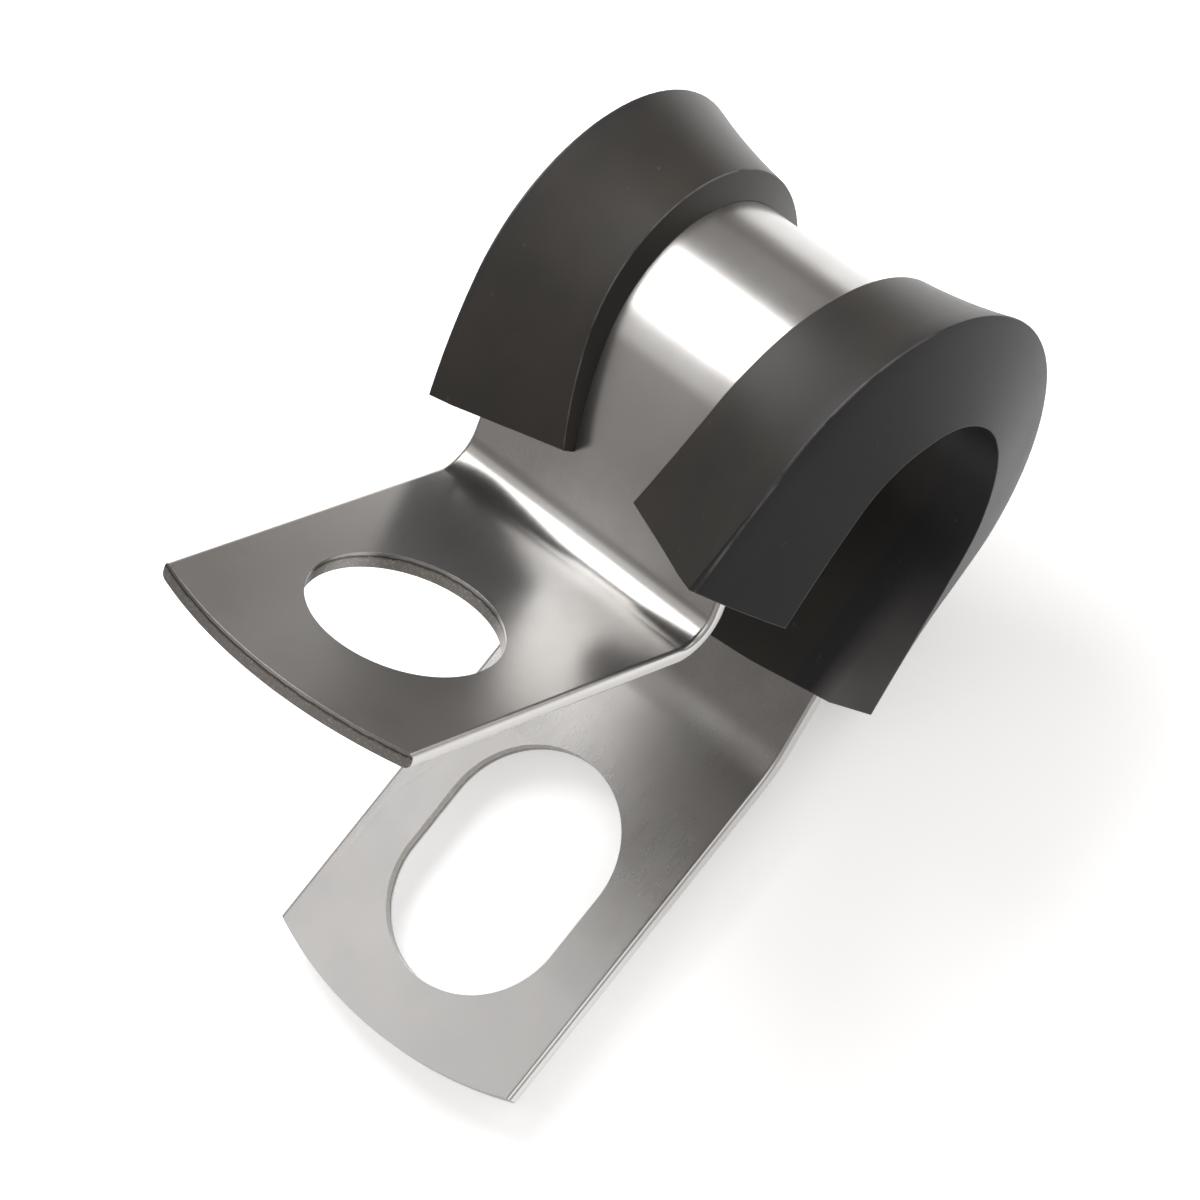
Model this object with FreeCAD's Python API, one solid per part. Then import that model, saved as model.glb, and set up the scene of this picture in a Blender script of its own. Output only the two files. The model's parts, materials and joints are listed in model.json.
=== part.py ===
"""P clip: a bent stainless band with a rubber channel over its loop.

The frame: X runs along the lower tab from its tip towards the loop, Y across the band, Z up from the
face that lies on the mounting surface. The origin is the centre of the slotted hole on that face.
Lengths are in millimetres, angles in degrees.
"""
import FreeCAD, Part
import math
import os

# The strip that the band is bent from
BAND_WIDTH = 15.0
BAND_THICKNESS = 0.8
TIP_RADIUS = 20.0

# Lower tab: straight, then a slight bend up to the loop
LOWER_TAB_LENGTH = 19.4
LOWER_BEND_ANGLE = 19.5
LOWER_BEND_RADIUS = 6.5
LOWER_LEG_LENGTH = 12.2
SLOT_WIDTH = 9.2
SLOT_LENGTH = 12.5
SLOT_FROM_TIP = 9.4

# Loop: a wide arc that tightens into the round of the bore
ENTRY_ANGLE = 44.4
ENTRY_RADIUS = 9.25
LOOP_ANGLE = 135.8
BORE_RADIUS = 4.75

# Upper leg with a slight bow, reverse bend over the outer face, upper tab
UPPER_LEG_LENGTH = 7.3
UPPER_LEG_ANGLE = 17.2
REVERSE_BEND_ANGLE = 88.6
REVERSE_BEND_RADIUS = 1.6
UPPER_TAB_LENGTH = 19.1
HOLE_DIAMETER = 9.0
HOLE_FROM_TIP = 8.9

# Rubber channel: its base in the bore, where it starts and stops on the band and how its ends are cut
LINER_BASE = 1.55
LINER_START = 3.6
LINER_STOP_SHORT = 0.5
WALL_RECESS = 1.6
LIP_RECESS = 1.9

# Section at the middle of the loop: half widths across the band, heights over the band's inner face
FLOOR_HALF_WIDTH = 8.0
FLOOR_HEIGHT = -2.3
RIM_HALF_WIDTH = 11.1
RIM_HEIGHT = -1.75
CREASE_HALF_WIDTH = 9.5
CREASE_HEIGHT = 3.1
LIP_HALF_GAP = 4.6
LIP_HEIGHT = 2.1
LIP_FOOT_SLANT = 0.6

# How much each of these changes from there to the channel's cut ends
RIM_WIDTH_CHANGE = -0.7
RIM_HEIGHT_CHANGE = 1.5
CREASE_WIDTH_CHANGE = -1.7
CREASE_HEIGHT_CHANGE = 1.4
LIP_GAP_CHANGE = -2.5
LIP_HEIGHT_CHANGE = -0.3
LIP_FOOT_CHANGE = -0.7

# How the channel is lofted: sections, and what runs on past the cuts
SECTIONS = 11
RUN_OUT = 2.5

Vector = FreeCAD.Vector


class Station:
    """A place on the band's inner face in side view, with its heading from tip to tip."""

    def __init__(self, x, z, heading):
        self.x = x
        self.z = z
        self.heading = heading

    def point(self, outside, across=0.0):
        """The point so far outside the inner face and so far across the band."""
        x = self.x + outside * math.sin(self.heading)
        z = self.z - outside * math.cos(self.heading)
        return Vector(x, across, z)

    def ahead(self, distance):
        x = self.x + distance * math.cos(self.heading)
        z = self.z + distance * math.sin(self.heading)
        return Station(x, z, self.heading)

    def turned(self, angle, radius):
        """The place after an arc of the inner face; a positive angle turns up and over the bore."""
        side = math.copysign(1.0, angle)
        centre_x = self.x - side * radius * math.sin(self.heading)
        centre_z = self.z + side * radius * math.cos(self.heading)
        heading = self.heading + math.radians(angle)
        x = centre_x + side * radius * math.sin(heading)
        z = centre_z - side * radius * math.cos(heading)
        return Station(x, z, heading)


class Piece:
    """A straight run or an arc of the band's inner face."""

    def __init__(self, start, length, angle):
        self.start = start
        self.length = length
        self.angle = angle

    def at(self, distance):
        if self.angle == 0.0:
            return self.start.ahead(distance)
        radius = self.length / math.radians(abs(self.angle))
        return self.start.turned(self.angle * distance / self.length, radius)

    def edge(self, outside, begin, end):
        first = self.at(begin).point(outside)
        last = self.at(end).point(outside)
        if self.angle == 0.0:
            return Part.LineSegment(first, last).toShape()
        middle = self.at((begin + end) / 2).point(outside)
        return Part.Arc(first, middle, last).toShape()


class Path:
    """The band's inner face in side view, from the lower tab's tip to the upper tab's tip."""

    def __init__(self, start):
        self.pieces = []
        self.end = start

    def run(self, length):
        return self.add(length, 0.0)

    def bend(self, angle, radius):
        return self.add(math.radians(abs(angle)) * radius, angle)

    def add(self, length, angle):
        piece = Piece(self.end, length, angle)
        self.pieces.append(piece)
        self.end = piece.at(length)
        return piece

    @property
    def length(self):
        return sum(piece.length for piece in self.pieces)

    def length_before(self, piece):
        return sum(earlier.length for earlier in self.pieces[:self.pieces.index(piece)])

    def at(self, distance):
        for piece in self.pieces:
            if distance <= piece.length or piece is self.pieces[-1]:
                return piece.at(distance)
            distance -= piece.length

    def edges(self, outside, begin, end):
        """The path's edges between two distances along it, shifted outside by a constant gap."""
        found = []
        passed = 0.0
        for piece in self.pieces:
            low = max(begin - passed, 0.0)
            high = min(end - passed, piece.length)
            if high - low > 1e-6:
                found.append(piece.edge(outside, low, high))
            passed += piece.length
        return found


def trace_band():
    path = Path(Station(-SLOT_FROM_TIP, BAND_THICKNESS, 0.0))
    path.run(LOWER_TAB_LENGTH)
    path.bend(LOWER_BEND_ANGLE, LOWER_BEND_RADIUS)
    path.lower_leg = path.run(LOWER_LEG_LENGTH)
    path.bend(ENTRY_ANGLE, ENTRY_RADIUS)
    path.loop = path.bend(LOOP_ANGLE, BORE_RADIUS + LINER_BASE)
    path.upper_leg = path.add(UPPER_LEG_LENGTH, UPPER_LEG_ANGLE)
    path.bend(-REVERSE_BEND_ANGLE, REVERSE_BEND_RADIUS + BAND_THICKNESS)
    path.run(UPPER_TAB_LENGTH)
    return path


def side_view(path, inner, outer, begin, end, recess=0.0):
    """The face between two gaps from the path; its ends fall back by the recess on the outer side."""
    inner_edges = path.edges(inner, begin, end)
    outer_edges = path.edges(outer, begin + recess, end - recess)
    caps = [
        Part.LineSegment(path.at(begin).point(inner), path.at(begin + recess).point(outer)).toShape(),
        Part.LineSegment(path.at(end).point(inner), path.at(end - recess).point(outer)).toShape(),
    ]
    return Part.Face(Part.Wire(Part.__sortEdges__(inner_edges + outer_edges + caps)))


def spread(face, width):
    """The side view's face made a solid of this width, centred on the band."""
    face.translate(Vector(0, -width / 2, 0))
    return face.extrude(Vector(0, width, 0))


def on_tab(tool, tip):
    """Lays a tool drawn with the tab's tip at the origin and +X to the loop on that tab."""
    tool.rotate(Vector(0, 0, 0), Vector(0, 1, 0), -math.degrees(tip.heading))
    tool.translate(Vector(tip.x, 0, tip.z))
    return tool


def tip_trimmer():
    """What is cut off a square strip end to leave the shallow arc of a tab's tip."""
    depth = 4 * BAND_THICKNESS
    corner = Vector(-TIP_RADIUS, -BAND_WIDTH, -depth / 2)
    square = Part.makeBox(2 * TIP_RADIUS, 2 * BAND_WIDTH, depth, corner)
    disc = Part.makeCylinder(TIP_RADIUS, 2 * depth, Vector(TIP_RADIUS, 0, -depth))
    return square.cut(disc)


def slot_punch():
    depth = 4 * BAND_THICKNESS
    radius = SLOT_WIDTH / 2
    half_straight = SLOT_LENGTH / 2 - radius
    first = Vector(SLOT_FROM_TIP - half_straight, 0, -depth / 2)
    last = Vector(SLOT_FROM_TIP + half_straight, 0, -depth / 2)
    middle = Part.makeBox(2 * half_straight, SLOT_WIDTH, depth, first - Vector(0, radius, 0))
    rounds = [Part.makeCylinder(radius, depth, first), Part.makeCylinder(radius, depth, last)]
    return middle.fuse(rounds).removeSplitter()


def hole_punch():
    depth = 4 * BAND_THICKNESS
    return Part.makeCylinder(HOLE_DIAMETER / 2, depth, Vector(HOLE_FROM_TIP, 0, -depth / 2))


def tab_tips(path):
    """Both tabs' tips, each with its heading towards the loop."""
    upper = path.end
    return path.at(0.0), Station(upper.x, upper.z, upper.heading + math.pi)


def make_band(path):
    strip = spread(side_view(path, 0.0, BAND_THICKNESS, 0.0, path.length), BAND_WIDTH)
    lower_tip, upper_tip = tab_tips(path)
    tools = [
        on_tab(tip_trimmer(), lower_tip),
        on_tab(tip_trimmer(), upper_tip),
        on_tab(slot_punch(), lower_tip),
        on_tab(hole_punch(), upper_tip),
    ]
    return strip.cut(tools)


def liner_section(station, ends):
    """The channel's outline square to the band; ends is 0 at the middle of the loop, 1 at a cut end."""
    lip = LIP_HALF_GAP + ends * LIP_GAP_CHANGE
    half = [
        (FLOOR_HALF_WIDTH, FLOOR_HEIGHT),
        (RIM_HALF_WIDTH + ends * RIM_WIDTH_CHANGE, RIM_HEIGHT + ends * RIM_HEIGHT_CHANGE),
        (CREASE_HALF_WIDTH + ends * CREASE_WIDTH_CHANGE, CREASE_HEIGHT + ends * CREASE_HEIGHT_CHANGE),
        (lip, LIP_HEIGHT + ends * LIP_HEIGHT_CHANGE),
        (lip - LIP_FOOT_SLANT - ends * LIP_FOOT_CHANGE, BAND_THICKNESS / 2),
    ]
    outline = half + [(-across, height) for across, height in reversed(half)]
    points = [station.point(height, across) for across, height in outline]
    return Part.makePolygon(points + points[:1])


def wall_recess(height):
    """How far the channel's cut end falls back at this height over the band's inner face."""
    crease_height = CREASE_HEIGHT + CREASE_HEIGHT_CHANGE
    return WALL_RECESS * (height + LINER_BASE) / (crease_height + LINER_BASE)


def lip_trimmer(station, towards_end):
    """Cuts both lips' ends back further, from the band's edges to the lips' free edges."""
    edge = BAND_WIDTH / 2
    gap = LIP_HALF_GAP + LIP_GAP_CHANGE
    slope = (LIP_RECESS - wall_recess(LIP_HEIGHT + LIP_HEIGHT_CHANGE)) / (edge - gap)
    wires = []
    for height in (BAND_THICKNESS / 2, 2 * CREASE_HEIGHT):
        outline = [
            (-wall_recess(height), edge),
            (-wall_recess(height) - slope * edge, 0.0),
            (-wall_recess(height), -edge),
            (RUN_OUT, -edge),
            (RUN_OUT, edge),
        ]
        points = [station.ahead(towards_end * along).point(height, across) for along, across in outline]
        wires.append(Part.makePolygon(points + points[:1]))
    return Part.makeLoft(wires, True, True)


def make_liner(path, band):
    begin = path.length_before(path.lower_leg) + LINER_START
    end = path.length_before(path.upper_leg) + UPPER_LEG_LENGTH - LINER_STOP_SHORT
    sections = []
    for index in range(SECTIONS):
        along = -1 + 2 * index / (SECTIONS - 1)
        distance = (begin + end) / 2 + along * ((end - begin) / 2 + RUN_OUT)
        from_middle = (2 * distance - begin - end) / (end - begin)
        sections.append(liner_section(path.at(distance), from_middle ** 2))
    channel = Part.makeLoft(sections, True, False)
    reach = 2 * CREASE_HEIGHT
    profile = side_view(path, -LINER_BASE, reach, begin, end, wall_recess(reach))
    trimmed = channel.common(spread(profile, 4 * RIM_HALF_WIDTH))
    return trimmed.cut([lip_trimmer(path.at(begin), -1), lip_trimmer(path.at(end), 1), band])


def main():
    os.makedirs("parts", exist_ok=True)
    path = trace_band()
    band = make_band(path)
    liner = make_liner(path, band)
    for name, shape in (("steel_band", band), ("rubber_liner", liner)):
        print(name, "solids", len(shape.Solids), "valid", shape.isValid(), "volume", round(shape.Volume, 1))
        shape.Solids[0].exportStep("parts/" + name + ".step")


main()
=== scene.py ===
"""Looks of the p clip: satin stainless band and black rubber channel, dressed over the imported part.

Sizes are in metres in the part's own frame: X along the lower tab towards the loop, Y across the band,
Z up from the mounting surface, origin at the slotted hole.
"""
import json
import math

import bmesh
import bpy
from mathutils import Matrix, Quaternion, Vector


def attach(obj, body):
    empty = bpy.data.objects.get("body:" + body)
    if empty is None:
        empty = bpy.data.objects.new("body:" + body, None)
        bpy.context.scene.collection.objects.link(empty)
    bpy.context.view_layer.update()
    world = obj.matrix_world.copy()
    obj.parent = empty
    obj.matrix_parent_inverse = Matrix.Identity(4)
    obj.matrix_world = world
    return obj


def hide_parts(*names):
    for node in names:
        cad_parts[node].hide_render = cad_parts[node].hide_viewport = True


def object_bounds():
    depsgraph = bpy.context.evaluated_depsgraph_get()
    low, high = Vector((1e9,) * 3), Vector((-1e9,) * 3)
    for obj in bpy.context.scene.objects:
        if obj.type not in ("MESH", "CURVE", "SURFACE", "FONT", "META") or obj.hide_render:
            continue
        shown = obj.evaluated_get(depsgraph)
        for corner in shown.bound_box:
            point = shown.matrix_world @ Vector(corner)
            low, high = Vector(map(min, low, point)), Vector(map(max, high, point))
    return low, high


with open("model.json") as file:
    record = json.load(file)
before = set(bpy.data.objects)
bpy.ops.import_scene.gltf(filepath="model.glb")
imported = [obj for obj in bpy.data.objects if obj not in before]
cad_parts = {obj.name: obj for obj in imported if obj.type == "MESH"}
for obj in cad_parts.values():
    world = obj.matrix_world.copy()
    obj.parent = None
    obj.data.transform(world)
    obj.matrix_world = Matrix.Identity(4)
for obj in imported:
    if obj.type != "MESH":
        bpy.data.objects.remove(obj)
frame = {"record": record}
cad_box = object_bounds()
mounts = {mount["name"]: mount for mount in frame["record"]["mounts"]}

MM = 0.001
CM_PER_METRE = 100

# The strip
BAND_WIDTH = 15.0 * MM
BAND_THICKNESS = 0.8 * MM
STRIP_EDGE = 0.3 * MM
CUT_EDGE = 0.2 * MM
TIP_RADIUS = 20.0 * MM
SLOT_FROM_TIP = 9.4 * MM
HOLE_FROM_TIP = 8.9 * MM

# The band's side view from tip to tip, on its inner face: length, then how far it turns in degrees
LOOP_RADIUS = 6.3 * MM
LOWER_TAB = (19.4 * MM, 0.0)
LOWER_BEND = (6.5 * MM * math.radians(19.5), 19.5)
LOWER_LEG = (12.2 * MM, 0.0)
ENTRY = (9.25 * MM * math.radians(44.4), 44.4)
LOOP = (LOOP_RADIUS * math.radians(135.8), 135.8)
UPPER_LEG = (7.3 * MM, 17.2)
REVERSE_BEND = (2.4 * MM * math.radians(88.6), -88.6)
UPPER_TAB = (19.1 * MM, 0.0)
RUNS = (LOWER_TAB, LOWER_BEND, LOWER_LEG, ENTRY, LOOP, UPPER_LEG, REVERSE_BEND, UPPER_TAB)

# The channel: where it starts and stops along the band, and how its ends are cut
LINER_BASE = 1.55 * MM
LINER_BEGIN = sum(run[0] for run in RUNS[:2]) + 3.6 * MM
LINER_END = sum(run[0] for run in RUNS[:6]) - 0.5 * MM
WALL_RECESS = 1.6 * MM
LIP_RECESS = 1.9 * MM
LOWER_END_PROUD = 0.2 * MM
LOWER_END_BULGE = 1.0 * MM
CUT_BLEND = 9.0 * MM
LINER_RINGS = 90
LINER_EDGE = 0.1 * MM
LEAST_RIM = 0.25 * MM

# Meshing: how close points are merged, how finely curves are divided, and from how many degrees an edge
# stays sharp or is rounded
MERGE = 0.002 * MM
DEGREES_PER_STEP = 3
HOLE_SIDES = 96
TIP_SIDES = 360
CUT_BAND_SHARP = 35
BAND_SHARP = 40
BAND_ROUNDED = 50
LINER_SHARP = 46


class Station:
    """A place on the band's inner face in side view, with its heading in radians from tip to tip."""

    def __init__(self, spot, heading):
        self.spot = spot
        self.heading = heading

    def outward(self):
        """Square to the heading, towards the band's outer face."""
        return Vector((math.sin(self.heading), 0, -math.cos(self.heading)))

    def forward(self):
        return Vector((math.cos(self.heading), 0, math.sin(self.heading)))

    def ahead(self, distance):
        return Station(self.spot + distance * self.forward(), self.heading)

    def after(self, distance, length, turn):
        """The place so far into a run of this length and turn."""
        if turn == 0:
            return self.ahead(distance)
        radius = length / math.radians(turn)
        heading = self.heading + distance / radius
        centre = self.spot - radius * self.outward()
        return Station(centre + radius * Station(self.spot, heading).outward(), heading)

    def point(self, outside, across=0.0):
        return self.spot + outside * self.outward() + Vector((0, across, 0))


LOWER_TIP = Station(Vector((-SLOT_FROM_TIP, 0, BAND_THICKNESS)), 0.0)


def station(distance):
    """The place so far along the band from its lower tip."""
    place = LOWER_TIP
    for length, turn in RUNS:
        if distance <= length:
            return place.after(distance, length, turn)
        place = place.after(length, length, turn)
        distance -= length
    return place


BAND_LENGTH = sum(run[0] for run in RUNS)
UPPER_TIP = station(BAND_LENGTH)


def only(obj):
    """Deselects everything but this object, which becomes the active one."""
    bpy.ops.object.select_all(action="DESELECT")
    obj.select_set(True)
    bpy.context.view_layer.objects.active = obj


def start(name, add, **settings):
    """Adds a primitive under a name and enters edit mode with all of it selected."""
    bpy.ops.object.select_all(action="DESELECT")
    add(**settings)
    obj = bpy.context.object
    obj.name = name
    obj.data.name = name
    bpy.ops.object.transform_apply(location=True, rotation=True, scale=True)
    bpy.ops.object.mode_set(mode="EDIT")
    bpy.ops.mesh.select_all(action="SELECT")
    return obj


def modify(obj, kind, **settings):
    """Adds a modifier, sets it and applies it."""
    only(obj)
    modifier = obj.modifiers.new(kind.lower(), kind)
    for key, value in settings.items():
        setattr(modifier, key, value)
    bpy.ops.object.modifier_apply(modifier=modifier.name)


def punch(obj, tool):
    """Cuts obj with a tool, which is then thrown away."""
    modify(obj, "BOOLEAN", operation="DIFFERENCE", object=tool, solver="EXACT")
    bpy.data.objects.remove(tool)


def finish_mesh(obj, sharp_from):
    """Merges doubles, turns the normals out and shades the mesh smooth between its sharp edges."""
    only(obj)
    bpy.ops.object.mode_set(mode="EDIT")
    bpy.ops.mesh.select_all(action="SELECT")
    bpy.ops.mesh.remove_doubles(threshold=MERGE)
    bpy.ops.mesh.normals_make_consistent(inside=False)
    bpy.ops.object.mode_set(mode="OBJECT")
    bpy.ops.object.shade_smooth_by_angle(angle=math.radians(sharp_from))


def unroll(obj):
    """Where each vertex lies on the band: how far along, how far outside its inner face, and the way out."""
    step = 0.25 * MM
    samples = [(station(index * step), index * step) for index in range(int(BAND_LENGTH / step) + 2)]
    unrolled = []
    for vertex in obj.data.vertices:
        flat = Vector((vertex.co.x, 0, vertex.co.z))
        place, distance = min(samples, key=lambda sample: (sample[0].spot - flat).length_squared)
        offset = flat - place.spot
        unrolled.append((distance + offset.dot(place.forward()), offset.dot(place.outward()), place.outward()))
    return unrolled


def lay_map(obj, name, values):
    """Adds a UV map with a pair of values for each corner of each face."""
    layer = obj.data.uv_layers.new(name=name)
    for face in obj.data.polygons:
        for index in face.loop_indices:
            layer.data[index].uv = values(face, obj.data.loops[index].vertex_index)


# --- steel band ---

TIP_BLOCK_LENGTH = 8 * MM


def bent_strip():
    """The strip's rounded section, carried along the side view run by run."""
    strip = start("steel_band_dressed", bpy.ops.mesh.primitive_plane_add, size=1)
    bpy.ops.mesh.delete(type="ONLY_FACE")
    bpy.ops.mesh.select_all(action="SELECT")
    bpy.ops.transform.resize(value=(BAND_THICKNESS, BAND_WIDTH, 1))
    bpy.ops.mesh.bevel(offset=STRIP_EDGE, segments=4, affect="VERTICES")
    bpy.ops.mesh.select_all(action="SELECT")
    bpy.ops.transform.rotate(value=math.radians(90), orient_axis="Y", center_override=(0, 0, 0))
    bpy.ops.transform.translate(value=LOWER_TIP.point(BAND_THICKNESS / 2))
    place = LOWER_TIP
    for length, turn in RUNS:
        if turn == 0:
            onward = place.ahead(length).spot - place.spot
            bpy.ops.mesh.extrude_region_move(TRANSFORM_OT_translate={"value": onward})
        else:
            radius = length / math.radians(turn)
            bpy.ops.mesh.spin(
                steps=max(8, round(abs(turn) / DEGREES_PER_STEP)),
                angle=math.radians(abs(turn)),
                center=place.spot - radius * place.outward(),
                axis=(0, math.copysign(1, turn), 0),
            )
        place = place.after(length, length, turn)
    bpy.ops.mesh.select_all(action="SELECT")
    bpy.ops.mesh.remove_doubles(threshold=MERGE)
    bpy.ops.mesh.fill_holes(sides=0)
    bpy.ops.mesh.normals_make_consistent(inside=False)
    bpy.ops.object.mode_set(mode="OBJECT")
    return strip


def tab_tool(tip, towards_loop, add, from_tip, **settings):
    """A punch square to a tab, this far from its tip."""
    spot = tip.ahead(towards_loop * from_tip).point(BAND_THICKNESS / 2)
    tool = start("punch", add, location=spot, rotation=(0, -tip.heading, 0), **settings)
    bpy.ops.mesh.normals_make_consistent(inside=False)
    bpy.ops.object.mode_set(mode="OBJECT")
    return tool


def round_tip(band, tip, towards_loop):
    """Cuts a square strip end to a shallow arc."""
    block = tab_tool(
        tip, towards_loop, bpy.ops.mesh.primitive_cube_add, 0.0,
        size=1, scale=(TIP_BLOCK_LENGTH, 2 * BAND_WIDTH, 4 * BAND_THICKNESS),
    )
    disc = tab_tool(
        tip, towards_loop, bpy.ops.mesh.primitive_cylinder_add, TIP_RADIUS,
        vertices=TIP_SIDES, radius=TIP_RADIUS, depth=8 * BAND_THICKNESS,
    )
    punch(block, disc)
    punch(band, block)


def make_band():
    band = bent_strip()
    slot = mounts["lower_slot"]["dims"]
    slot_radius = slot["hole_r_mm"] * MM
    half_straight = slot["slot_length_mm"] * MM / 2 - slot_radius
    deep = 6 * BAND_THICKNESS
    slot_tool = tab_tool(
        LOWER_TIP, 1, bpy.ops.mesh.primitive_cylinder_add, SLOT_FROM_TIP,
        vertices=HOLE_SIDES, radius=slot_radius, depth=deep,
    )
    for vertex in slot_tool.data.vertices:
        vertex.co.x += math.copysign(half_straight, vertex.co.x)
    hole_tool = tab_tool(
        UPPER_TIP, -1, bpy.ops.mesh.primitive_cylinder_add, HOLE_FROM_TIP,
        vertices=HOLE_SIDES, radius=mounts["upper_hole"]["dims"]["r_mm"] * MM, depth=deep,
    )
    punch(band, slot_tool)
    punch(band, hole_tool)
    round_tip(band, LOWER_TIP, 1)
    round_tip(band, UPPER_TIP, -1)
    finish_mesh(band, CUT_BAND_SHARP)
    modify(
        band, "BEVEL", width=CUT_EDGE, segments=3, limit_method="ANGLE", angle_limit=math.radians(BAND_ROUNDED),
        use_clamp_overlap=True,
    )
    only(band)
    bpy.ops.object.shade_smooth_by_angle(angle=math.radians(BAND_SHARP))
    modify(band, "WEIGHTED_NORMAL", keep_sharp=True, weight=80)
    unrolled = unroll(band)

    def strip(face, corner):
        return CM_PER_METRE * unrolled[corner][0], CM_PER_METRE * band.data.vertices[corner].co.y

    def sheet(face, corner):
        """Depth from 0 on the outer face to 1 on the inner one, then 1 on punched faces and -1 on slit ones."""
        _, outside, outward = unrolled[corner]
        slit = abs(face.normal.y) > 0.5 and abs(face.center.y) > BAND_WIDTH / 2 - STRIP_EDGE
        punched = abs(face.normal.dot(outward)) < 0.5 and not slit
        return 1 - outside / BAND_THICKNESS, float(punched) - float(slit)

    lay_map(band, "strip", strip)
    lay_map(band, "sheet", sheet)
    return band


# --- rubber channel ---

# Half the section, in millimetres. RIM, CREASE and LIP are places: across and height at the middle of the
# channel's length, then how much each changes to its cut ends. FLARE_START is a place that stays the same.
# FOOT_SLANT and HOLLOW are a length and its change.
RIM = (11.1, -1.75, -0.7, 1.5)
CREASE = (9.65, 3.2, -1.75, 1.35)
LIP = (4.6, 2.1, -2.5, -0.3)
FOOT_SLANT = (0.6, -0.7)
FLARE_START = (8.0, -2.3)
HOLLOW = (0.25, -0.18)
# The share of wall and lip that the crease's rounding takes, and its change to the ends
SOFTNESS = (0.04, -0.02)
CREASE_STEPS = 6
LIP_STEPS = 6


def changed(middle, change, ends):
    """A length of the section in metres, where ends says how near the cut ends it is."""
    return (middle + ends * change) * MM


def mixed(first, last, share):
    """The point this share of the way from first to last."""
    return (first[0] + share * (last[0] - first[0]), first[1] + share * (last[1] - first[1]))


def bow(first, pull, last, steps):
    """Points of a curve from first towards last, drawn to pull; first itself is left out."""
    return [
        mixed(mixed(first, pull, step / steps), mixed(pull, last, step / steps), step / steps)
        for step in range(1, steps + 1)
    ]


def half_section(ends):
    """Outer and inner points of the channel's half, as (across, height) pairs from its middle to its lip."""
    rim = (changed(RIM[0], RIM[2], ends), changed(RIM[1], RIM[3], ends))
    crease = (changed(CREASE[0], CREASE[2], ends), changed(CREASE[1], CREASE[3], ends))
    lip = (changed(LIP[0], LIP[2], ends), changed(LIP[1], LIP[3], ends))
    foot = lip[0] - changed(FOOT_SLANT[0], FOOT_SLANT[1], ends)
    flare = (FLARE_START[0] * MM, FLARE_START[1] * MM)
    if rim[1] < -LINER_BASE:
        rim = mixed(rim, crease, (-LINER_BASE - rim[1]) / (crease[1] - rim[1]))
    fold = mixed(flare, rim, min(1.0, (-LINER_BASE - flare[1]) / (rim[1] - flare[1])))
    fold = (min(fold[0], rim[0] - LEAST_RIM), -LINER_BASE)
    softness = SOFTNESS[0] + ends * SOFTNESS[1]
    shoulder = mixed(crease, rim, softness / 2)
    level = mixed(crease, lip, 0.5)
    saddle = (level[0], level[1] - changed(HOLLOW[0], HOLLOW[1], ends))
    brow = mixed(crease, saddle, softness)
    outer = [(0.0, -LINER_BASE), (0.5 * fold[0], -LINER_BASE), fold, rim]
    outer += [mixed(rim, shoulder, share) for share in (0.2, 0.5, 0.8, 1.0)]
    outer += bow(shoulder, crease, brow, CREASE_STEPS) + bow(brow, saddle, lip, LIP_STEPS)
    side = BAND_WIDTH / 2
    inner = [(0.0, 0.0), (0.5 * side, 0.0), (side, 0.0), (side, BAND_THICKNESS), (foot, BAND_THICKNESS)]
    return outer, inner


def wall_recess(height):
    """How far a cut wall falls back at this height, from nothing at its foot."""
    top = (CREASE[1] + CREASE[3]) * MM
    return WALL_RECESS * (height + LINER_BASE) / (top + LINER_BASE)


def end_recess(across, height):
    """How far a cut end falls back at this place of the section."""
    edge = BAND_WIDTH / 2
    gap = (LIP[0] + LIP[2]) * MM
    slope = (LIP_RECESS - wall_recess((LIP[1] + LIP[3]) * MM)) / (edge - gap)
    over_band = height > BAND_THICKNESS / 2 and abs(across) < edge
    return wall_recess(height) + (slope * (edge - abs(across)) if over_band else 0.0)


def lower_end_reach(across, height):
    """How far the floor of the lower end reaches on towards the tab, most at its middle."""
    edge = BAND_WIDTH / 2
    bulge = LOWER_END_BULGE * max(0.0, 1 - (across / edge) ** 2) if height < BAND_THICKNESS / 2 else 0.0
    return LOWER_END_PROUD + bulge


def towards_ends(distance):
    """0 in the middle of the channel's length and 1 at either cut end."""
    middle = (LINER_BEGIN + LINER_END) / 2
    return (2 * (distance - middle) / (LINER_END - LINER_BEGIN)) ** 2


def ring_points(distance):
    """The channel's closed outline at this distance along the band, with its ends' slants blended in."""
    outer, inner = half_section(towards_ends(distance))
    half = outer + inner[::-1]
    outline = half[:-1] + [(-across, height) for across, height in reversed(half)][:-1]
    near_begin = max(0.0, 1 - (distance - LINER_BEGIN) / CUT_BLEND)
    near_end = max(0.0, 1 - (LINER_END - distance) / CUT_BLEND)
    points = []
    for across, height in outline:
        recess = end_recess(across, height)
        shift = (recess - lower_end_reach(across, height)) * near_begin - recess * near_end
        points.append(station(distance + shift).point(height, across))
    return points


def past_crease(along, across, height):
    """How far a place of the channel lies from its crease: above 0 on the wall, below 0 on the lip."""
    ends = towards_ends(min(max(along, LINER_BEGIN), LINER_END))
    crease = Vector((changed(CREASE[0], CREASE[2], ends), changed(CREASE[1], CREASE[3], ends)))
    rim = Vector((changed(RIM[0], RIM[2], ends), changed(RIM[1], RIM[3], ends)))
    lip = Vector((changed(LIP[0], LIP[2], ends), changed(LIP[1], LIP[3], ends)))
    offset = Vector((abs(across), height)) - crease
    on_wall = offset.dot((rim - crease).normalized()) > offset.dot((lip - crease).normalized())
    return offset.length if on_wall else -offset.length


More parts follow.
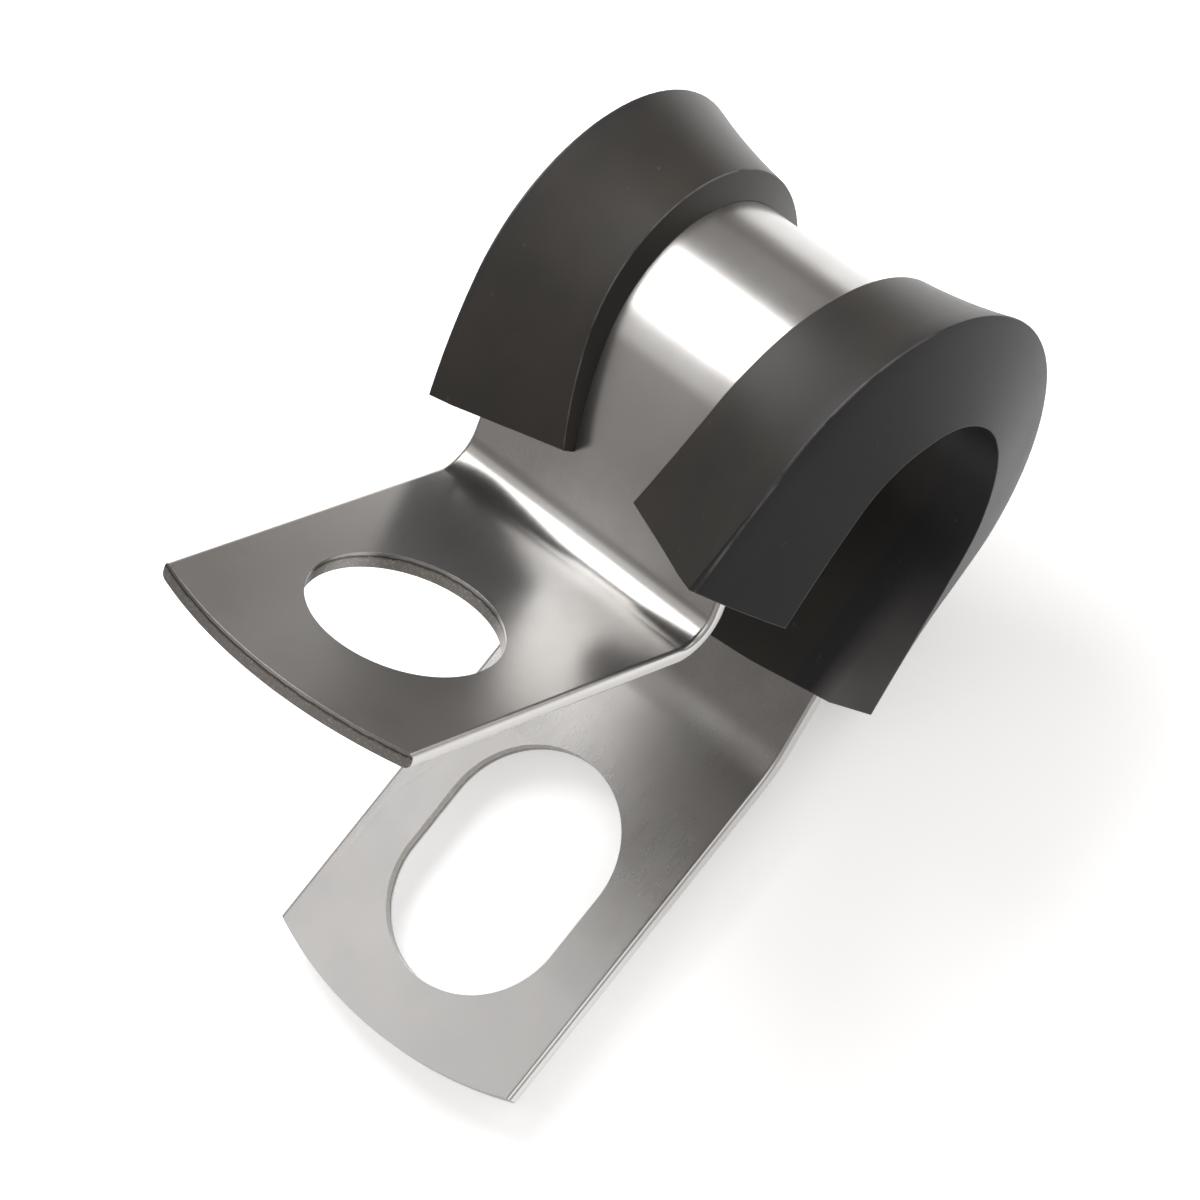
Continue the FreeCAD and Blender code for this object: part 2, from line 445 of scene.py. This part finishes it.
def make_liner():
    """The channel: one outline, extruded ring by ring and reshaped to the section at each place.

    Its section changes all along the loop, which a spin can't give.
    """
    outline = ring_points(LINER_BEGIN)
    liner = start(
        "rubber_liner_dressed", bpy.ops.mesh.primitive_circle_add, vertices=len(outline), radius=BAND_WIDTH,
    )
    # Two empty slots for the time of the meshing: the rounding marks its own faces with the second
    for _ in range(2):
        liner.data.materials.append(None)
    mesh = bmesh.from_edit_mesh(liner.data)
    order = mesh.verts.layers.int.new("order")
    for index, vertex in enumerate(sorted(mesh.verts, key=lambda v: v.index)):
        vertex[order] = index
        vertex.co = outline[index]
    bmesh.update_edit_mesh(liner.data)
    for ring in range(1, LINER_RINGS + 1):
        outline = ring_points(LINER_BEGIN + (LINER_END - LINER_BEGIN) * ring / LINER_RINGS)
        bpy.ops.mesh.extrude_region_move()
        mesh = bmesh.from_edit_mesh(liner.data)
        order = mesh.verts.layers.int["order"]
        for vertex in mesh.verts:
            if vertex.select:
                vertex.co = outline[vertex[order]]
        bmesh.update_edit_mesh(liner.data)
    bpy.ops.mesh.select_all(action="SELECT")
    bpy.ops.mesh.fill_holes(sides=0)
    bpy.ops.mesh.normals_make_consistent(inside=False)
    bpy.ops.object.mode_set(mode="OBJECT")
    finish_mesh(liner, LINER_SHARP)
    modify(
        liner, "BEVEL", width=LINER_EDGE, segments=2, limit_method="ANGLE", angle_limit=math.radians(LINER_SHARP),
        use_clamp_overlap=True, material=1,
    )
    only(liner)
    bpy.ops.object.shade_smooth_by_angle(angle=math.radians(LINER_SHARP))
    unrolled = unroll(liner)

    def strip(face, corner):
        return CM_PER_METRE * unrolled[corner][0], CM_PER_METRE * liner.data.vertices[corner].co.y

    def edge_marks(face, corner):
        """1 on the rounded edges, and the distance from the crease in millimetres, below 0 on the lip."""
        along, outside, _ = unrolled[corner]
        return float(face.material_index == 1), past_crease(along, liner.data.vertices[corner].co.y, outside) / MM

    lay_map(liner, "strip", strip)
    lay_map(liner, "edge_marks", edge_marks)
    for face in liner.data.polygons:
        face.material_index = 0
    return liner


# --- materials ---


class Value:
    """A shader socket that takes part in Python sums: each operator adds its Math node."""

    def __init__(self, tree, socket):
        self.tree = tree
        self.socket = socket

    def node(self, kind, settings=None, **inputs):
        """Adds a node, sets it, feeds its sockets and hands back its first output."""
        made = self.tree.nodes.new(kind)
        for key, value in (settings or {}).items():
            setattr(made, key, value)
        for key, value in inputs.items():
            slot = int(key[1:]) if key[0] == "_" and key[1:].isdigit() else key.replace("_", " ")
            feed(self.tree, made.inputs[slot], value)
        return Value(self.tree, made.outputs[0])

    def output(self, name):
        """Another output of the node that this value comes from."""
        return Value(self.tree, self.socket.node.outputs[name])

    def sum(self, operation, first, second):
        """Adds a Math node of two terms."""
        return self.node("ShaderNodeMath", {"operation": operation}, _0=first, _1=second)

    def __add__(self, other):
        return self.sum("ADD", self, other)

    def __radd__(self, other):
        return self.sum("ADD", other, self)

    def __sub__(self, other):
        return self.sum("SUBTRACT", self, other)

    def __rsub__(self, other):
        return self.sum("SUBTRACT", other, self)

    def __mul__(self, other):
        return self.sum("MULTIPLY", self, other)

    def __rmul__(self, other):
        return self.sum("MULTIPLY", other, self)

    def __abs__(self):
        return self.node("ShaderNodeMath", {"operation": "ABSOLUTE"}, _0=self)


def feed(tree, slot, value):
    """Links a Value to an input socket, or sets a constant on it."""
    if isinstance(value, Value):
        tree.links.new(value.socket, slot)
    elif hasattr(slot.default_value, "__len__") and not hasattr(value, "__len__"):
        slot.default_value = [value] * len(slot.default_value)
    else:
        slot.default_value = value


def material(name):
    """A fresh material: its shader node and a Value to build its maths from."""
    made = bpy.data.materials.new(name)
    made.use_nodes = True
    tree = made.node_tree
    shader = next(node for node in tree.nodes if node.type == "BSDF_PRINCIPLED")
    return made, shader, Value(tree, None)


def tone(level, warmth=0.0):
    """A grey of this level, with more red and less blue by its warmth."""
    return (level * (1 + warmth), level, level * (1 - warmth), 1.0)


CLEAN_STEEL = (tone(0.49, 0.008), tone(0.56, 0.012))
# Painted shade: darker steel round the lower bend and along the lower leg
PAINTED_SHADE_STEEL = tone(0.25, 0.03)
# Real smudges, and painted contact shade beside the lips' feet
SMUDGE_AND_CONTACT_SHADE = tone(0.2, 0.1)
SLIT_STEEL = tone(0.9, 0.01)
SHEAR_LINE = tone(0.1, 0.1)
TORN_STEEL = tone(0.3, 0.06)
TORN_GRAINS = tone(0.6, 0.01)
# Lip tone: a brown bloom film with a painted warm sheen
LIP_FILM_AND_SHEEN = (tone(0.018, 0.05), tone(0.028, 0.16))
WALL_RUBBER = ((0.0168, 0.016, 0.0195, 1.0), (0.0238, 0.023, 0.0255, 1.0))
# Pale tone: painted highlights on the crease and rounded edges, painted sheen in the bore, and real pale specks
PALE_SPECKS_AND_HIGHLIGHTS = tone(0.22, 0.04)
# Painted pool of light on the floor: pale and glowing near the clip, darker far off
POOL_LIT_FLOOR = tone(0.93)
POOL_FALLOFF_FLOOR = tone(0.22, 0.05)
PAINTED_POOL_GLOW = tone(0.4)
BACKDROP = (0.42, 0.4, 0.385, 1)

# Where looks set in along the band, in centimetres from its lower tip: from none to all of it
PAINTED_SHADE_SETS_IN = (0.85, 1.5)
PAINTED_SHADE_FADES = (2.9, 2.3)
CONTACT_SHADE_SETS_IN = (3.4, 4.0)
CREASE_HIGHLIGHT_SETS_IN = (4.7, 5.5)
# Painted sheen in the bore, from none to all of it towards the lower end
BORE_SHEEN_SETS_IN = (3.3, 2.5)
# The same through the sheet, from 0 on its outer face to 1 on its inner one
SHEAR_SETS_IN = (0.28, 0.33)
SHEAR_FADES = (0.52, 0.4)
TORN_SETS_IN = (0.36, 0.46)
# The same past the crease, in millimetres, below 0 on the lip
LIP_FILM_AND_SHEEN_SETS_IN = (0.15, -0.5)
CREASE_HIGHLIGHT_LINE_SETS_IN = (0.12, 0.04)
BORE_SETS_IN = (2.8, 6.0)

# Noise patterns: scale, detail and roughness
LINES = (5.0, 1.0, 0.5)
STEEL_CLOUD = (160.0, 3.0, 0.55)
SMUDGES = (330.0, 2.0, 0.5)
RAGGED = (1500.0, 3.0, 0.65)
BRIGHT_GRAINS = (9000.0, 2.0, 0.7)
RUBBER_CLOUD = (130.0, 3.0, 0.55)
RUBBER_GRAIN = (2600.0, 3.0, 0.6)
SPECKS = (1700.0, 2.0, 0.6)
HIGHLIGHT_BREAKS = (700.0, 3.0, 0.6)
LINES_DRAWN_OUT = (0.6, 6.0, 1.0)

STEEL_METALLIC = 0.9
RUBBER_SPECULAR = 0.28
# Strength and distance
STEEL_BUMP = (0.06, 0.008 * MM)
RUBBER_BUMP = (0.16, 0.02 * MM)


def noise(maths, where, scale, detail, roughness):
    return maths.node(
        "ShaderNodeTexNoise", None, Vector=where, Scale=scale, Detail=detail, Roughness=roughness,
    )


def clamp_range(maths, value, low, high, new_low=0.0, new_high=1.0):
    """Takes a value's range to another one and cuts off what lies beyond."""
    return maths.node("ShaderNodeMapRange", None, Value=value, _1=low, _2=high, _3=new_low, _4=new_high)


def blend(maths, factor, first, second):
    """A colour between two others: the Mix node's colour sockets are 6 and 7, and its colour output is 2."""
    return maths.node("ShaderNodeMix", {"data_type": "RGBA"}, _0=factor, _6=first, _7=second).output(2)


def pair(maths, name):
    """A UV map, and its two values on their own."""
    both = maths.node("ShaderNodeUVMap", {"uv_map": name})
    parts = maths.node("ShaderNodeSeparateXYZ", None, Vector=both)
    return both, parts, parts.output("Y")


def object_place(maths):
    return maths.node("ShaderNodeTexCoord").output("Object")


def bump(maths, height, strength, distance):
    return maths.node("ShaderNodeBump", None, Strength=strength, Distance=distance, Height=height)


def steel():
    """Satin sheet. Its maps: strip is the place along and across the band in centimetres, and sheet is the
    depth in the sheet with the kind of cut face."""
    made, shader, maths = material("satin_stainless")
    tree = made.node_tree
    strip, along, across = pair(maths, "strip")
    _, depth, cut = pair(maths, "sheet")
    punched = clamp_range(maths, cut, 0.0, 1.0)
    place = object_place(maths)
    drawn = maths.node("ShaderNodeMapping", None, Vector=strip, Scale=LINES_DRAWN_OUT)
    lines = noise(maths, drawn, *LINES)
    cloud = noise(maths, place, *STEEL_CLOUD)
    # Painted shade round the lower bend and leg, where the steel is darker in colour and also rougher, with real
    # soft smudges in it, and a painted brownish contact shade along the lips' feet
    near_side = clamp_range(maths, across, 0.1, -0.5, 0.0, 0.2)
    painted_shade = clamp_range(maths, along + near_side, *PAINTED_SHADE_SETS_IN) * clamp_range(maths, along, *PAINTED_SHADE_FADES, 0.5, 1.0)
    smudge = painted_shade * clamp_range(maths, noise(maths, place, *SMUDGES), 0.5, 0.75)
    # Painted contact shade: brownish darkening where the lips' feet meet the band
    contact_shade = clamp_range(maths, along, *CONTACT_SHADE_SETS_IN) * clamp_range(maths, abs(across) + 0.3 * cloud, 0.3, 0.62)
    clean = blend(maths, clamp_range(maths, cloud, 0.3, 0.8), *CLEAN_STEEL)
    shaded_steel = blend(maths, painted_shade * clamp_range(maths, cloud, 0.2, 0.6, 0.7, 1.0), clean, PAINTED_SHADE_STEEL)
    smudged_and_shaded = blend(maths, 0.3 * smudge + 0.3 * contact_shade, shaded_steel, SMUDGE_AND_CONTACT_SHADE)
    slit = clamp_range(maths, cut, 0.0, -1.0, 0.0, 0.6)
    uncut = blend(maths, slit, smudged_and_shaded, SLIT_STEEL)
    # Punched faces: a dark shear line below the burnished lip, then a dull brownish torn zone with bright grains
    level = depth + 0.2 * noise(maths, place, *RAGGED)
    shear = punched * clamp_range(maths, level, *SHEAR_SETS_IN) * clamp_range(maths, level, *SHEAR_FADES)
    torn = punched * clamp_range(maths, level, *TORN_SETS_IN)
    grains = torn * clamp_range(maths, noise(maths, place, *BRIGHT_GRAINS), 0.55, 0.68)
    edge = blend(maths, shear, blend(maths, torn, uncut, TORN_STEEL), SHEAR_LINE)
    feed(tree, shader.inputs["Base Color"], blend(maths, 0.7 * grains, edge, TORN_GRAINS))
    feed(tree, shader.inputs["Roughness"], 0.19 + 0.03 * lines + 0.04 * cloud + 0.05 * painted_shade + 0.14 * torn)
    shader.inputs["Metallic"].default_value = STEEL_METALLIC
    feed(tree, shader.inputs["Normal"], bump(maths, 2.0 * grains, *STEEL_BUMP))
    return made


def rubber():
    """Black rubber. Its maps: strip is the place along and across the band in centimetres, and the edge map marks
    the rounded edges and gives the distance from the crease in millimetres.
    Its pale colour is painted highlights on the crease and rounded edges, a painted sheen in the bore, and real
    pale specks."""
    made, shader, maths = material("black_rubber")
    tree = made.node_tree
    place = object_place(maths)
    _, along, across = pair(maths, "strip")
    _, rounded_edge, past = pair(maths, "edge_marks")
    cloud = noise(maths, place, *RUBBER_CLOUD)
    grain = noise(maths, place, *RUBBER_GRAIN)
    speck = clamp_range(maths, noise(maths, place, *SPECKS), 0.72, 0.8)
    # A brown film on the lips, in which their warm sheen is also painted, and a bluish black on the walls and in
    # the bore
    patchy = clamp_range(maths, cloud, 0.3, 0.7)
    lip_film_and_sheen = blend(maths, patchy, *LIP_FILM_AND_SHEEN)
    wall_shade = blend(maths, patchy, *WALL_RUBBER)
    shade = blend(maths, clamp_range(maths, past, *LIP_FILM_AND_SHEEN_SETS_IN), wall_shade, lip_film_and_sheen)
    # Painted highlights as pale lines: along the crease towards the upper end, and broken ones on the other edges
    highlight_breaks = clamp_range(maths, noise(maths, place, *HIGHLIGHT_BREAKS), 0.3, 0.6)
    crease = clamp_range(maths, abs(past), *CREASE_HIGHLIGHT_LINE_SETS_IN) * clamp_range(maths, along, *CREASE_HIGHLIGHT_SETS_IN)
    # Painted sheen in the bore at its lower end
    in_bore = clamp_range(maths, past, *BORE_SETS_IN) * clamp_range(maths, abs(across), 0.0, 0.6)
    bore_sheen = clamp_range(maths, along, *BORE_SHEEN_SETS_IN) * in_bore * clamp_range(maths, cloud, 0.3, 0.7, 0.3, 0.75)
    # pale: painted highlights on crease and edges, real specks, and painted sheen in the bore
    pale = highlight_breaks * (0.5 * crease + 0.4 * rounded_edge) + 0.12 * speck + bore_sheen
    feed(tree, shader.inputs["Base Color"], blend(maths, pale, shade, PALE_SPECKS_AND_HIGHLIGHTS))
    feed(tree, shader.inputs["Roughness"], 0.34 + 0.1 * cloud + 0.03 * grain)
    shader.inputs["Specular IOR Level"].default_value = RUBBER_SPECULAR
    feed(tree, shader.inputs["Normal"], bump(maths, grain, *RUBBER_BUMP))
    return made


band = make_band()
liner = make_liner()
band.data.materials.clear()
band.data.materials.append(steel())
liner.data.materials.clear()
liner.data.materials.append(rubber())
for piece, node, finish in ((band, "steel_band", "band"), (liner, "rubber_liner", "liner")):
    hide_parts(node)
    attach(piece, "root")

# --- studio ---

FLOOR_LEVEL = min(cad_box[0][2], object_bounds()[0][2]) - 0.05 * MM
FLOOR_SIZE = 3.0
POOL_LIT_WITHIN = 46 * MM
POOL_DARK_BEYOND = 90 * MM
CLIP_MIDDLE = Vector((12, 0, 10)) * MM


def add_floor():
    """A floor with a painted pool of light: pale and glowing round the clip and darker far from it, which the
    steel mirrors as dark zones.
    """
    bpy.ops.object.select_all(action="DESELECT")
    bpy.ops.mesh.primitive_plane_add(size=FLOOR_SIZE, location=(0, 0, FLOOR_LEVEL))
    floor = bpy.context.object
    floor.name = "floor"
    made, shader, maths = material("painted_light_pool_floor")
    tree = made.node_tree
    reach = maths.node(
        "ShaderNodeVectorMath", {"operation": "DISTANCE"}, _0=object_place(maths), _1=(CLIP_MIDDLE.x, 0, 0),
    ).output("Value")
    pale = maths.node(
        "ShaderNodeMapRange", {"interpolation_type": "SMOOTHSTEP"},
        Value=reach, _1=POOL_LIT_WITHIN, _2=POOL_DARK_BEYOND, _3=1.0, _4=0.0,
    )
    feed(tree, shader.inputs["Base Color"], blend(maths, pale, POOL_FALLOFF_FLOOR, POOL_LIT_FLOOR))
    rays = maths.node("ShaderNodeLightPath")
    seen = rays.output("Is Camera Ray") + rays.output("Is Glossy Ray") + rays.output("Is Transmission Ray")
    # Painted glow of the pool, seen by camera, glossy and transmission rays
    pool_glow = pale * seen
    feed(tree, shader.inputs["Emission Color"], blend(maths, pool_glow, tone(0.0), PAINTED_POOL_GLOW))
    shader.inputs["Emission Strength"].default_value = 1.0
    shader.inputs["Roughness"].default_value = 1.0
    shader.inputs["Specular IOR Level"].default_value = 0.0
    floor.data.materials.append(made)


def add_softbox(name, place, angle, size, radiance):
    """A soft lamp with one side along Y: it stands at place and faces back down a line this far up from +X."""
    turn = math.radians(angle)
    facing = Vector((math.cos(turn), 0, math.sin(turn)))
    along = Vector((0, 1, 0))
    bpy.ops.object.light_add(type="AREA", location=place)
    lamp = bpy.context.object
    lamp.name = name
    lamp.rotation_euler = Matrix((along, facing.cross(along), facing)).transposed().to_euler()
    lamp.data.shape = "RECTANGLE"
    lamp.data.size = size[0]
    lamp.data.size_y = size[1]
    lamp.data.energy = radiance * math.pi * size[0] * size[1]


def beside(angle, distance, aside):
    """A lamp's place: this far from the clip up a line at this angle from +X, and shifted along Y."""
    turn = math.radians(angle)
    return CLIP_MIDDLE + Vector((distance * math.cos(turn), aside, distance * math.sin(turn)))


def add_world():
    world = bpy.data.worlds.new("studio")
    bpy.context.scene.world = world
    world.use_nodes = True
    backdrop = world.node_tree.nodes["Background"]
    backdrop.inputs[0].default_value = BACKDROP
    backdrop.inputs[1].default_value = 1.0


# Name, place, angle up from +X, size along Y and across it, radiance
SOFTBOXES = (
    ("sky box", Vector((0.0585, 0.060, 0.089)), 86.4, (0.074, 0.085), 6.8),
    ("top box", beside(104, 0.40, 0.22), 104, (0.42, 0.17), 0.8),
    ("back box", beside(155, 0.40, 0.20), 155, (0.40, 0.12), 0.2),
    ("front box", beside(90, 0.38, -0.34), 90, (0.30, 0.30), 0.8),
    ("right box", beside(20, 0.36, -0.20), 20, (0.30, 0.24), 2.6),
)

add_floor()
add_world()
for softbox in SOFTBOXES:
    add_softbox(*softbox)

# Camera at the photograph's angle
CAMERA_AIM = Vector((12.32, 3.31, 3.64)) * MM
CAMERA_DISTANCE = 320.5 * MM
CAMERA_AZIMUTH = math.radians(-96.35)
CAMERA_ELEVATION = math.radians(63.5)
CAMERA_ROLL = math.radians(-45.66)
CAMERA_SENSOR = 36
CAMERA_LENS = 211.0


def add_camera():
    level = math.cos(CAMERA_ELEVATION)
    back = Vector((
        level * math.cos(CAMERA_AZIMUTH), level * math.sin(CAMERA_AZIMUTH), math.sin(CAMERA_ELEVATION),
    ))
    bpy.ops.object.camera_add(location=CAMERA_AIM + CAMERA_DISTANCE * back)
    camera = bpy.context.object
    camera.name = "photo_camera"
    turned = back.to_track_quat("Z", "Y") @ Quaternion((0, 0, 1), CAMERA_ROLL)
    camera.rotation_euler = turned.to_euler()
    camera.data.sensor_width = CAMERA_SENSOR
    camera.data.lens = CAMERA_LENS
    camera.data.clip_start = 10 * MM
    camera.data.clip_end = 10
    bpy.context.scene.camera = camera


add_camera()
bpy.context.scene.view_settings.view_transform = "Standard"
